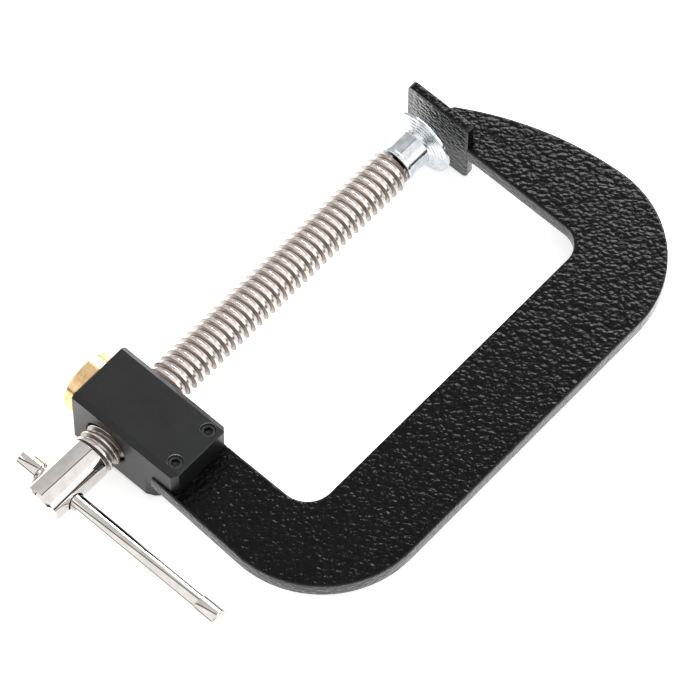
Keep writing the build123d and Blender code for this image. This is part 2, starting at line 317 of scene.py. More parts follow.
def dress(piece: bpy.types.Object, material: bpy.types.Material) -> None:
    """Gives a piece one material on all its faces."""
    piece.data.materials.clear()
    piece.data.materials.append(material)


def settle(
    piece: bpy.types.Object,
    finish: "Finish",
    body: str,
    replaced: Sequence[str] = (),
) -> bpy.types.Object:
    """Dresses a piece, lets it ride on a body and says which CAD nodes it stands for.

    Args:
        piece: the piece.
        finish: its finish.
        body: the CAD body that it rides on.
        replaced: the CAD nodes that it stands for.

    Returns:
        The piece.
    """
    dress(piece, finish.material())
    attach(piece, body)
    for node in replaced:
        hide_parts(node)
    LOG.info("%s rides on %s", piece.name, body)
    return piece


# ------------------------------------------------------------------ finishes
def add_node(
    tree: bpy.types.NodeTree,
    kind: str,
    values: Optional[dict[Any, Any]] = None,
    links: Optional[dict[Any, Any]] = None,
    **settings: Any,
) -> bpy.types.Node:
    """Adds a node with its settings, socket values and links.

    Args:
        tree: the node tree.
        kind: the node's type.
        values: input socket name or number to value.
        links: input socket name or number to the output that feeds it.
        **settings: the node's own properties.

    Returns:
        The new node.
    """
    node = tree.nodes.new(kind)
    for key, value in settings.items():
        setattr(node, key, value)
    for key, value in (values or {}).items():
        node.inputs[key].default_value = value
    for key, output in (links or {}).items():
        tree.links.new(output, node.inputs[key])
    return node


def add_ramp(
    tree: bpy.types.NodeTree, source: Any, stops: Sequence[tuple[float, Any]]
) -> bpy.types.Node:
    """Adds a colour ramp.

    Args:
        tree: the node tree.
        source: the output that drives it.
        stops: pairs of (place, grey level or hex colour), in rising order.

    Returns:
        The ramp.
    """
    ramp = add_node(tree, "ShaderNodeValToRGB", links={0: source})
    elements = ramp.color_ramp.elements
    while len(elements) < len(stops):
        elements.new(0.5)
    for element, (place, level) in zip(elements, stops):
        element.position = place
        element.color = linear(level) if isinstance(level, str) else (level, level, level, 1.0)
    return ramp


class Finish:
    """A finish: makes its material once, and gives it to every piece that asks."""

    name: str = ""
    slot: str = ""
    _made: dict[str, bpy.types.Material] = {}

    def material(self) -> bpy.types.Material:
        """Gives the finish's material, and makes it the first time."""
        if self.name not in Finish._made:
            made = bpy.data.materials.new(self.name)
            made.use_nodes = True
            tree = made.node_tree
            tree.nodes.clear()
            shader = add_node(tree, "ShaderNodeBsdfPrincipled")
            add_node(tree, "ShaderNodeOutputMaterial", links={"Surface": shader.outputs[0]})
            self.build(tree, shader)
            Finish._made[self.name] = made
        return Finish._made[self.name]

    def build(self, tree: bpy.types.NodeTree, shader: bpy.types.Node) -> None:
        """Adds the finish's own nodes to its tree."""
        raise NotImplementedError

    @staticmethod
    def millimetres(
        tree: bpy.types.NodeTree,
        centre: Sequence[float] = (0, 0, 0),
        stretch: Sequence[float] = (1, 1, 1),
    ) -> Any:
        """Object coordinates in millimetres.

        Args:
            tree: the node tree.
            centre: the point, in millimetres, that becomes the pattern's origin.
            stretch: the pattern's scale along each axis.

        Returns:
            The mapping's output.
        """
        place = add_node(tree, "ShaderNodeTexCoord")
        scale = [1000 * s for s in stretch]
        shift = [-c * s for c, s in zip(centre, stretch)]
        mapping = add_node(
            tree,
            "ShaderNodeMapping",
            {"Scale": scale, "Location": shift},
            {"Vector": place.outputs["Object"]},
        )
        return mapping.outputs[0]


@dataclass(frozen=True)
class HammeredPowderCoat(Finish):
    """Thick black polyester powder coat, baked so that it flows into a leather-like grain."""

    name: str = "black_hammered_powder_coat"
    slot: str = "frame_coat"
    colour: str = "#060607"
    grain_length: float = 1.3
    grain_height: float = 0.27
    grain_turn: float = 41.8
    grain_stretch: float = 1.35
    roughness: float = 0.18
    # Specular levels: the first for flat faces, the second, higher one for sides and rounded edges, which is
    # a painted sheen along the edges.
    face_gloss: float = 0.12
    painted_edge_sheen: float = 0.5

    def build(self, tree: bpy.types.NodeTree, shader: bpy.types.Node) -> None:
        """Long soft bumps with narrow valleys, so lit places glitter and the rest stays black; painted shade
        darkens the valleys and a painted sheen brightens the edges.
        """
        turned_grain = {
            "Rotation": (0, 0, math.radians(self.grain_turn)),
            "Scale": (self.grain_stretch, 1, 1),
        }
        straight = {"Vector": self.millimetres(tree)}
        mapping = add_node(tree, "ShaderNodeMapping", turned_grain, straight, vector_type="TEXTURE")
        place = mapping.outputs[0]
        warp = add_node(tree, "ShaderNodeTexNoise", {"Scale": 0.55, "Detail": 2.0}, {"Vector": place})
        pull = add_node(
            tree,
            "ShaderNodeVectorMath",
            {1: (1.6, 1.6, 1.6)},
            {0: warp.outputs["Color"]},
            operation="MULTIPLY",
        )
        bent = add_node(
            tree, "ShaderNodeVectorMath", links={0: place, 1: pull.outputs[0]}, operation="ADD"
        )
        cells = add_node(
            tree,
            "ShaderNodeTexVoronoi",
            {"Scale": 1 / self.grain_length, "Smoothness": 0.35},
            {"Vector": bent.outputs[0]},
            feature="SMOOTH_F1",
        )
        fine = add_node(
            tree, "ShaderNodeTexNoise", {"Scale": 2.2, "Detail": 2.0}, {"Vector": bent.outputs[0]}
        )
        crown = add_node(
            tree,
            "ShaderNodeMath",
            {1: -1.0, 2: 1.0},
            {0: cells.outputs["Distance"]},
            operation="MULTIPLY_ADD",
        )
        height = add_node(
            tree,
            "ShaderNodeMath",
            {1: 0.22},
            {0: fine.outputs[0], 2: crown.outputs[0]},
            operation="MULTIPLY_ADD",
        )
        bump = add_node(
            tree,
            "ShaderNodeBump",
            {"Strength": 0.85, "Distance": self.grain_height * MM},
            {"Height": height.outputs[0]},
        )
        stops = ((0.3, self.roughness - 0.04), (0.75, self.roughness + 0.06))
        worn = add_ramp(tree, fine.outputs[0], stops)
        # Base colour darker towards the grain's valleys, where the bumps are lowest: painted shade in the
        # creases.
        shade = add_ramp(tree, cells.outputs["Distance"], ((0.1, self.colour), (0.9, "#030304")))
        tree.links.new(shade.outputs[0], shader.inputs["Base Color"])
        tree.links.new(worn.outputs[0], shader.inputs["Roughness"])
        tree.links.new(bump.outputs[0], shader.inputs["Normal"])
        shader.inputs["IOR"].default_value = 1.5
        # Specular level set by the normal's tilt: sides and rounded edges reflect about four times more than
        # flat faces, a painted sheen along the edges.
        facing = add_node(tree, "ShaderNodeTexCoord")
        upright = add_node(tree, "ShaderNodeSeparateXYZ", links={0: facing.outputs["Normal"]})
        level = add_node(tree, "ShaderNodeMath", links={0: upright.outputs[2]}, operation="ABSOLUTE")
        gloss = add_ramp(tree, level.outputs[0], ((0.5, self.painted_edge_sheen), (0.95, self.face_gloss)))
        tree.links.new(gloss.outputs[0], shader.inputs["Specular IOR Level"])


@dataclass(frozen=True)
class BlackAnodised(Finish):
    """Milled aluminium bar, bead blasted and anodised black: satin, dark, with a fine tooth."""

    name: str = "satin_black_anodised_aluminium"
    slot: str = "block_anodised"
    colour: str = "#0b0b0c"
    roughness: float = 0.33

    def build(self, tree: bpy.types.NodeTree, shader: bpy.types.Node) -> None:
        """Fine even tooth from blasting over faint milling lines."""
        place = self.millimetres(tree)
        tooth = add_node(tree, "ShaderNodeTexNoise", {"Scale": 3.2, "Detail": 3.0}, {"Vector": place})
        along = self.millimetres(tree, stretch=(0.06, 1.6, 1.6))
        lines = add_node(tree, "ShaderNodeTexNoise", {"Scale": 1.0, "Detail": 2.0}, {"Vector": along})
        height = add_node(
            tree,
            "ShaderNodeMath",
            {1: 0.5},
            {0: lines.outputs[0], 2: tooth.outputs[0]},
            operation="MULTIPLY_ADD",
        )
        bump = add_node(
            tree, "ShaderNodeBump", {"Strength": 0.35, "Distance": 0.012 * MM}, {"Height": height.outputs[0]}
        )
        patches = add_node(tree, "ShaderNodeTexNoise", {"Scale": 0.12, "Detail": 3.0}, {"Vector": place})
        shade = add_ramp(tree, patches.outputs[0], ((0.3, self.colour), (0.75, "#131415")))
        stops = ((0.3, self.roughness - 0.06), (0.7, self.roughness + 0.08))
        gloss = add_ramp(tree, tooth.outputs[0], stops)
        tree.links.new(shade.outputs[0], shader.inputs["Base Color"])
        tree.links.new(gloss.outputs[0], shader.inputs["Roughness"])
        tree.links.new(bump.outputs[0], shader.inputs["Normal"])
        shader.inputs["IOR"].default_value = 1.5
        shader.inputs["Specular IOR Level"].default_value = 0.3


@dataclass(frozen=True)
class TurnedMetal(Finish):
    """Bare metal turned on a lathe: rings about its axis, with a little mottling."""

    name: str = "turned_metal"
    slot: str = ""
    light: str = "#d0d0d2"
    dark: str = "#a8a8ac"
    roughness: float = 0.15
    spread: float = 0.08
    ring_pitch: float = 0.3
    ring_height: float = 0.004
    axis: Axis = Axis.Y
    centre: tuple[float, float, float] = (0.0, 0.0, 0.0)
    mottle_size: float = 3.0

    def build(self, tree: bpy.types.NodeTree, shader: bpy.types.Node) -> None:
        """Lathe rings as a one-way noise along the axis and the radius, over soft patches."""
        along, first, second = self.axis.value
        across = [0.0, 0.0, 0.0]
        across[first] = across[second] = 1.0
        radial = self.millimetres(tree, self.centre, across)
        radius = add_node(tree, "ShaderNodeVectorMath", links={0: radial}, operation="LENGTH")
        place = self.millimetres(tree)
        parts = add_node(tree, "ShaderNodeSeparateXYZ", links={0: place})
        run = add_node(
            tree,
            "ShaderNodeMath",
            links={0: radius.outputs["Value"], 1: parts.outputs[along]},
            operation="ADD",
        )
        rings = add_node(
            tree,
            "ShaderNodeTexNoise",
            {"Scale": 1 / self.ring_pitch, "Detail": 3.0},
            {"W": run.outputs[0]},
            noise_dimensions="1D",
        )
        patches = add_node(
            tree, "ShaderNodeTexNoise", {"Scale": 1 / self.mottle_size, "Detail": 4.0}, {"Vector": place}
        )
        bump = add_node(
            tree,
            "ShaderNodeBump",
            {"Strength": 0.6, "Distance": self.ring_height * MM},
            {"Height": rings.outputs[0]},
        )
        shade = add_ramp(tree, patches.outputs[0], ((0.32, self.dark), (0.6, self.light)))
        low, high = self.roughness - self.spread / 2, self.roughness + self.spread
        gloss = add_ramp(tree, rings.outputs[0], ((0.3, low), (0.75, high)))
        tree.links.new(shade.outputs[0], shader.inputs["Base Color"])
        tree.links.new(gloss.outputs[0], shader.inputs["Roughness"])
        tree.links.new(bump.outputs[0], shader.inputs["Normal"])
        shader.inputs["Metallic"].default_value = 1.0


@dataclass(frozen=True)
class RolledThread(Finish):
    """Rolled trapezoidal thread on steel, coloured by depth: a painted highlight on the crests, painted
    shade lines on the flanks, and a plain steel tone on the roots and the flanks' middles.
    """

    name: str = "rolled_steel_thread"
    slot: str = "spindle_steel"
    # crest is a painted highlight and flank the painted shade of thin dark lines; root and worn are the
    # plain steel tone of the roots and of the flanks' middles.
    crest: str = "#cfc6c1"
    root: str = "#b8b0ab"
    flank: str = "#4b443f"
    worn: str = "#b5ada7"
    root_radius: float = 5.25
    crest_radius: float = 6.95

    def build(self, tree: bpy.types.NodeTree, shader: bpy.types.Node) -> None:
        """The distance from the axis sets the painted light and shade and how smooth the metal is."""
        radial = self.millimetres(tree, stretch=(1, 0, 1))
        radius = add_node(tree, "ShaderNodeVectorMath", links={0: radial}, operation="LENGTH")
        level = add_node(
            tree,
            "ShaderNodeMapRange",
            {"From Min": self.root_radius, "From Max": self.crest_radius},
            {"Value": radius.outputs["Value"]},
        )
        place = self.millimetres(tree)
        patches = add_node(tree, "ShaderNodeTexNoise", {"Scale": 0.9, "Detail": 5.0}, {"Vector": place})
        # Depth from root to crest, with a little random mottle: it drives the painted light and shade below.
        mottle_and_painted_depth_light = add_node(
            tree,
            "ShaderNodeMath",
            {1: 0.12},
            {0: patches.outputs[0], 2: level.outputs[0]},
            operation="MULTIPLY_ADD",
        )
        # Painted light by depth: plain tone at the root, a painted shade line just above it, plain tone on
        # the flank's middle, a second painted shade line below the crest, and a painted highlight on the
        # crest.
        stops = (
            (0.1, self.root),
            (0.17, self.flank),
            (0.3, self.worn),
            (0.8, self.worn),
            (0.92, self.flank),
            (0.99, self.crest),
        )
        shade = add_ramp(tree, mottle_and_painted_depth_light.outputs[0], stops)
        gloss = add_ramp(tree, mottle_and_painted_depth_light.outputs[0], ((0.1, 0.28), (0.3, 0.38), (0.85, 0.38), (1.0, 0.2)))
        scratch = self.millimetres(tree, stretch=(0.4, 5.0, 0.4))
        lines = add_node(tree, "ShaderNodeTexNoise", {"Scale": 1.0, "Detail": 2.0}, {"Vector": scratch})
        bump = add_node(
            tree, "ShaderNodeBump", {"Strength": 0.5, "Distance": 0.012 * MM}, {"Height": lines.outputs[0]}
        )
        tree.links.new(shade.outputs[0], shader.inputs["Base Color"])
        tree.links.new(gloss.outputs[0], shader.inputs["Roughness"])
        tree.links.new(bump.outputs[0], shader.inputs["Normal"])
        shader.inputs["Metallic"].default_value = 1.0


@dataclass(frozen=True)
class BlackOxide(Finish):
    """Hardened steel with an oiled black oxide: dark, low gloss, slightly patchy."""

    name: str = "black_oxide_steel"
    slot: str = "black_screw"

    def build(self, tree: bpy.types.NodeTree, shader: bpy.types.Node) -> None:
        """Fine patches in shade and gloss."""
        place = self.millimetres(tree)
        patches = add_node(tree, "ShaderNodeTexNoise", {"Scale": 2.0, "Detail": 4.0}, {"Vector": place})
        shade = add_ramp(tree, patches.outputs[0], ((0.3, "#0b0b0c"), (0.7, "#161618")))
        gloss = add_ramp(tree, patches.outputs[0], ((0.3, 0.3), (0.7, 0.45)))
        bump = add_node(
            tree, "ShaderNodeBump", {"Strength": 0.3, "Distance": 0.01 * MM}, {"Height": patches.outputs[0]}
        )
        tree.links.new(shade.outputs[0], shader.inputs["Base Color"])
        tree.links.new(gloss.outputs[0], shader.inputs["Roughness"])
        tree.links.new(bump.outputs[0], shader.inputs["Normal"])
        shader.inputs["IOR"].default_value = 1.5


@dataclass(frozen=True)
class MattPaper(Finish):
    """Matt white background paper on a light table, with a faint tooth."""

    name: str = "white_background_paper"
    glow: float = 0.5

    def build(self, tree: bpy.types.NodeTree, shader: bpy.types.Node) -> None:
        """Almost even white."""
        place = self.millimetres(tree)
        tooth = add_node(tree, "ShaderNodeTexNoise", {"Scale": 0.5, "Detail": 2.0}, {"Vector": place})
        shade = add_ramp(tree, tooth.outputs[0], ((0.3, "#f6f6f6"), (0.7, "#f9f9f9")))
        tree.links.new(shade.outputs[0], shader.inputs["Base Color"])
        shader.inputs["Roughness"].default_value = 0.85
        shader.inputs["Specular IOR Level"].default_value = 0.2
        tree.links.new(shade.outputs[0], shader.inputs["Emission Color"])
        shader.inputs["Emission Strength"].default_value = self.glow


COAT = HammeredPowderCoat()
ANODISED = BlackAnodised()
OXIDE = BlackOxide()
THREAD = RolledThread()


# ------------------------------------------------------------------ frame
@dataclass
class ClampFrame:
    """The C-shaped plate, the jaw across its arm and the welds behind the jaw. Sizes in mm."""

    throat: float = 61.0
    inner_heel: float = 9.0
    inner_toe: float = 8.0
    outer_heel: float = 35.0
    shoulder: float = 36.5
    crown: float = 110.0
    crown_join: float = 93.0
    crown_height: float = 25.9
    tip_radius: float = 3.0
    splay: float = 2.5
    arm_inset: float = 0.6
    arm_proud: float = 0.6
    shoulder_x: float = 19.0
    edge_round: float = 0.8
    jaw_corner: float = 2.2
    jaw_round: float = 0.45
    weld_leg: float = 2.1
    weld_hollow: float = 0.28
    weld_run_out: float = 1.2
    weld_skew: float = 0.35
    weld_rows: int = 90
    weld_columns: int = 14
    ripple: float = 0.12
    ripple_pitch: float = 1.1
    ripple_lean: float = 0.3

    def outline(self) -> Points:
        """The plate's outline: tangent arcs for the outer edge, and rounded corners elsewhere.

        Returns:
            The closed outline, clockwise from the arm's tip.
        """
        low, high = box_mm("frame_plate")
        jaw_high = box_mm("fixed_jaw")[1]
        block_low, block_high = box_mm("nut_block")
        outer, tip, back = high[0], low[0], jaw_high[1]
        bend = np.array((outer - self.shoulder, self.crown_height - self.shoulder))
        join = math.radians(self.crown_join)
        reach = self.shoulder - self.crown
        middle = bend + reach * np.array((math.cos(join), math.sin(join)))
        inner = self.crown - self.tip_radius
        tip_centre_x = tip + self.tip_radius
        tip_angle = math.acos((tip_centre_x - middle[0]) / inner)
        tip_centre = (tip_centre_x, middle[1] + inner * math.sin(tip_angle))
        tip_degrees = math.degrees(tip_angle)
        inner_y = block_high[1] - self.arm_inset
        outer_y = block_low[1] - self.arm_proud
        heel_y = outer_y - (outer - self.shoulder_x) * math.tan(math.radians(self.splay))
        crown = np.concatenate(
            (
                arc(tip_centre, self.tip_radius, 180, tip_degrees, 8)[:-1],
                arc(middle, self.crown, tip_degrees, self.crown_join, 48)[:-1],
                arc(bend, self.shoulder, self.crown_join, 0, 40),
            )
        )
        corners = [
            (outer, bend[1], 0),
            (outer, heel_y, self.outer_heel),
            (self.shoulder_x, outer_y, 0),
            (self.shoulder_x, inner_y, 0),
            (self.throat, inner_y, self.inner_heel),
            (self.throat, 0, self.inner_toe),
            (jaw_high[0], 0, 0),
            (jaw_high[0], back, 0),
            (tip, back, 0),
            (tip, tip_centre[1], 0),
        ]
        rest = rounded(corners, steps=24, closed=False)
        return np.concatenate((crown, rest[1:-1]))

    def plate(self) -> bpy.types.Object:
        """The flat plate with rolled edges."""
        low, high = box_mm("frame_plate")

        def place(flat: Points, height: Points) -> Points:
            """Lays the outline flat, with its height along Z."""
            return np.stack((flat[:, 0], flat[:, 1], height), 1)

        return slab("frame_plate_skin", self.outline(), low[2], high[2], self.edge_round, place)

    def jaw(self) -> bpy.types.Object:
        """The jaw plate, a rounded rectangle that stands across the arm."""
        low, high = box_mm("fixed_jaw")
        r = self.jaw_corner
        corners = [
            (low[0], low[2], r),
            (high[0], low[2], r),
            (high[0], high[2], r),
            (low[0], high[2], r),
        ]

        def place(flat: Points, height: Points) -> Points:
            """Stands the outline up, with its height along Y."""
            return np.stack((flat[:, 0], height, flat[:, 1]), 1)

        return slab("fixed_jaw_skin", rounded(corners, 8), low[1], high[1], self.jaw_round, place)

    def weld(self, side: int) -> bpy.types.Object:
        """A fillet bead in the corner between the jaw's back and the plate.

        At a distance s along the bead and an angle a from the plate to the jaw, the surface
        stands off the corner by the leg, flattened in the middle and rippled by the absolute
        sine of s. Both ends shrink to the corner as the square root of their distance.

        Args:
            side: 1 for the bead on the plate's upper face, -1 for the lower.

        Returns:
            The bead.
        """
        low, high = box_mm("jaw_welds")
        jaw_high = box_mm("fixed_jaw")[1]
        plate_high = box_mm("frame_plate")[1]
        run = np.linspace(0, 1, self.weld_rows)[:, None]
        turn = np.linspace(0, math.pi / 2, self.weld_columns)[None, :]
        length = high[0] - low[0]
        ends = np.sqrt(np.clip(np.minimum(run, 1 - run) * length / self.weld_run_out, 0, 1))
        cycle = math.pi * run * length / self.ripple_pitch + self.ripple_lean * turn
        wave = self.ripple * np.abs(np.sin(cycle))
        body = self.weld_leg * (1 - self.weld_hollow * np.sin(2 * turn)) - self.ripple
        reach = (body + wave) * ends
        x = low[0] + run * length + self.weld_skew * np.sin(2 * turn) * ends
        y = jaw_high[1] + reach * np.cos(turn)
        z = side * (plate_high[2] + reach * np.sin(turn))
        surface = np.stack((np.broadcast_to(x, y.shape), y, z), -1)
        root = np.stack(
            (low[0] + run * length, np.full_like(run, jaw_high[1]), np.full_like(run, side * plate_high[2])),
            -1,
        )
        points = np.concatenate((surface, root), 1)
        faces = grid_faces(self.weld_rows, self.weld_columns + 1).tolist()
        name = "jaw_weld_upper" if side > 0 else "jaw_weld_lower"
        return make_object(name, points.reshape(-1, 3), faces)

    def build(self) -> None:
        """Builds and dresses the frame's pieces."""
        settle(self.plate(), COAT, "frame", ["frame_plate"])
        settle(self.jaw(), COAT, "frame", ["fixed_jaw"])
        for side in (1, -1):
            settle(self.weld(side), COAT, "frame", ["jaw_welds"])


# ------------------------------------------------------------------ nut block
@dataclass
class NutBlock:
    """The block, its two set screws, and the release button with its spring. Sizes in mm."""

    edge_break: float = 0.16
    hex_flat: float = 2.5
    hex_depth: float = 2.2
    screw_gap: float = 0.06
    screw_columns: int = 72
    socket_chamfer: float = 0.15
    socket_flare: float = 0.18
    socket_point: float = 0.5
    rim_width: float = 0.4
    rim_drop: float = 0.08
    rim_chamfer: float = 0.3
    end_chamfer: float = 0.5
    tap_start: float = 0.16
    tap_step: float = 0.14
    tap_gap: float = 0.02
    tap_depth: float = 0.09
    tap_backing: float = 0.3

    def block(self) -> bpy.types.Object:
        """The CAD block's own shape with its edges broken, as deburring leaves them."""
        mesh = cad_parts["nut_block"].data.copy()
        mesh.name = "nut_block_skin"
        tidy_mesh(mesh, 20.0, flat_angle=0.4)
        piece = bpy.data.objects.new("nut_block_skin", mesh)
        bpy.context.scene.collection.objects.link(piece)
        bevel = piece.modifiers.new("broken_edges", "BEVEL")
        bevel.width = self.edge_break * MM
        bevel.segments = 2
        bevel.limit_method = "ANGLE"
        bevel.angle_limit = math.radians(30)
        bevel.harden_normals = True
        return piece

    @staticmethod
    def screw_axis(index: int) -> tuple[float, float, float]:
        """Gives a set screw's axis and radius.

        Args:
            index: 0 for the screw nearer the handle, 1 for the other.

        Returns:
            The axis's x and y, and the screw's radius.
        """
        low, high = box_mm("frame_screws")
        radius = (high[0] - low[0]) / 2
        y = low[1] + radius if index == 0 else high[1] - radius
        return (high[0] + low[0]) / 2, y, radius

    def set_screw(self, index: int) -> bpy.types.Object:
        """A socket set screw seen from its driven end.

        Rows run from the axis at the socket's floor, up its six walls, over the cupped end and
        down the outside. On the socket's rows the radius at an angle is the half width over
        the cosine of the angle from the nearest flat's middle.

        Args:
            index: 0 for the screw nearer the handle, 1 for the other.

        Returns:
            The screw.
        """
        low, high = box_mm("frame_screws")
        centre_x, centre_y, radius = self.screw_axis(index)
        outer = radius - self.screw_gap
        flat = self.hex_flat / 2
        top, bottom = high[2], low[2]
        floor = top - self.hex_depth
        rows = np.array(
            [
                (floor - self.socket_point, 0.0, 0),
                (floor, flat, 1),
                (top - self.socket_chamfer, flat, 1),
                (top, flat + self.socket_flare, 1),
                (top, outer - self.rim_width, 0),
                (top - self.rim_drop, outer - self.rim_width / 2, 0),
                (top - self.rim_chamfer, outer, 0),
                (bottom + self.end_chamfer, outer, 0),
                (bottom, outer - self.end_chamfer, 0),
                (bottom, 0.0, 0),
            ]
        )
        angle = np.linspace(0, 2 * math.pi, self.screw_columns, endpoint=False)
        sixth = math.pi / 3
        off = (angle % sixth) - sixth / 2
        six = 1 / np.cos(off)
        reach = rows[:, 1:2] * np.where(rows[:, 2:3] > 0, six[None, :], 1.0)
        x = centre_x + reach * np.cos(angle)
        y = centre_y + reach * np.sin(angle)
        z = np.broadcast_to(rows[:, 0:1], x.shape)
        points = np.stack((x, y, z), -1).reshape(-1, 3)
        faces = grid_faces(len(rows), self.screw_columns).tolist()
        return make_object(f"set_screw_{index + 1}", points, faces, sharp=25.0)

    def hole_thread(self, index: int) -> bpy.types.Object:
        """The tapped wall above a set screw: a ring whose inner side zigzags like its thread.

        Args:
            index: 0 for the hole nearer the handle, 1 for the other.

        Returns:
            The ring.
        """
        x, y, radius = self.screw_axis(index)
        block_top = box_mm("nut_block")[1][2]
        steps = np.arange(5)
        heights = block_top - self.tap_start - self.tap_step * steps
        radii = radius - self.tap_gap - self.tap_depth * (steps % 2)
        wall = np.stack((heights, radii), 1)
        back = np.array([(height, radius + self.tap_backing) for height in (heights[-1], heights[0])])
        name = f"set_screw_hole_thread_{index + 1}"
        ring = np.concatenate((wall, back))
        return turned(name, ring, Axis.Z, (x, y, 0), columns=self.screw_columns, loop=True)

    def build(self) -> None:
        """Builds the block's pieces and dresses the button and spring that the CAD gives."""
        settle(self.block(), ANODISED, "frame", ["nut_block"])
        settle(self.set_screw(0), OXIDE, "frame", ["frame_screws"])
        settle(self.set_screw(1), OXIDE, "frame", ["frame_screws"])
        bare = TurnedMetal(
            name="bare_tapped_aluminium",
            slot="block_anodised",
            light="#d5d6d8",
            dark="#8d8f92",
            roughness=0.25,
        )
        settle(self.hole_thread(0), bare, "frame", ["nut_block"])
        settle(self.hole_thread(1), bare, "frame", ["nut_block"])
        low, high = box_mm("release_button")
        axis_point = ((low[0] + high[0]) / 2, (low[1] + high[1]) / 2, 0.0)
        brass = TurnedMetal(
            name="turned_brass",
            slot="brass_button",
            light="#e6c796",
            dark="#cda673",
            roughness=0.2,
            spread=0.08,
            ring_pitch=0.5,
            ring_height=0.003,
            axis=Axis.X,
            centre=axis_point,
            mottle_size=4.0,
        )
        dress(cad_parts["release_button"], brass.material())
        wire = TurnedMetal(name="drawn_spring_wire", slot="spring_wire", light="#a9abb0", dark="#7d7f84")
        dress(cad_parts["button_spring"], wire.material())


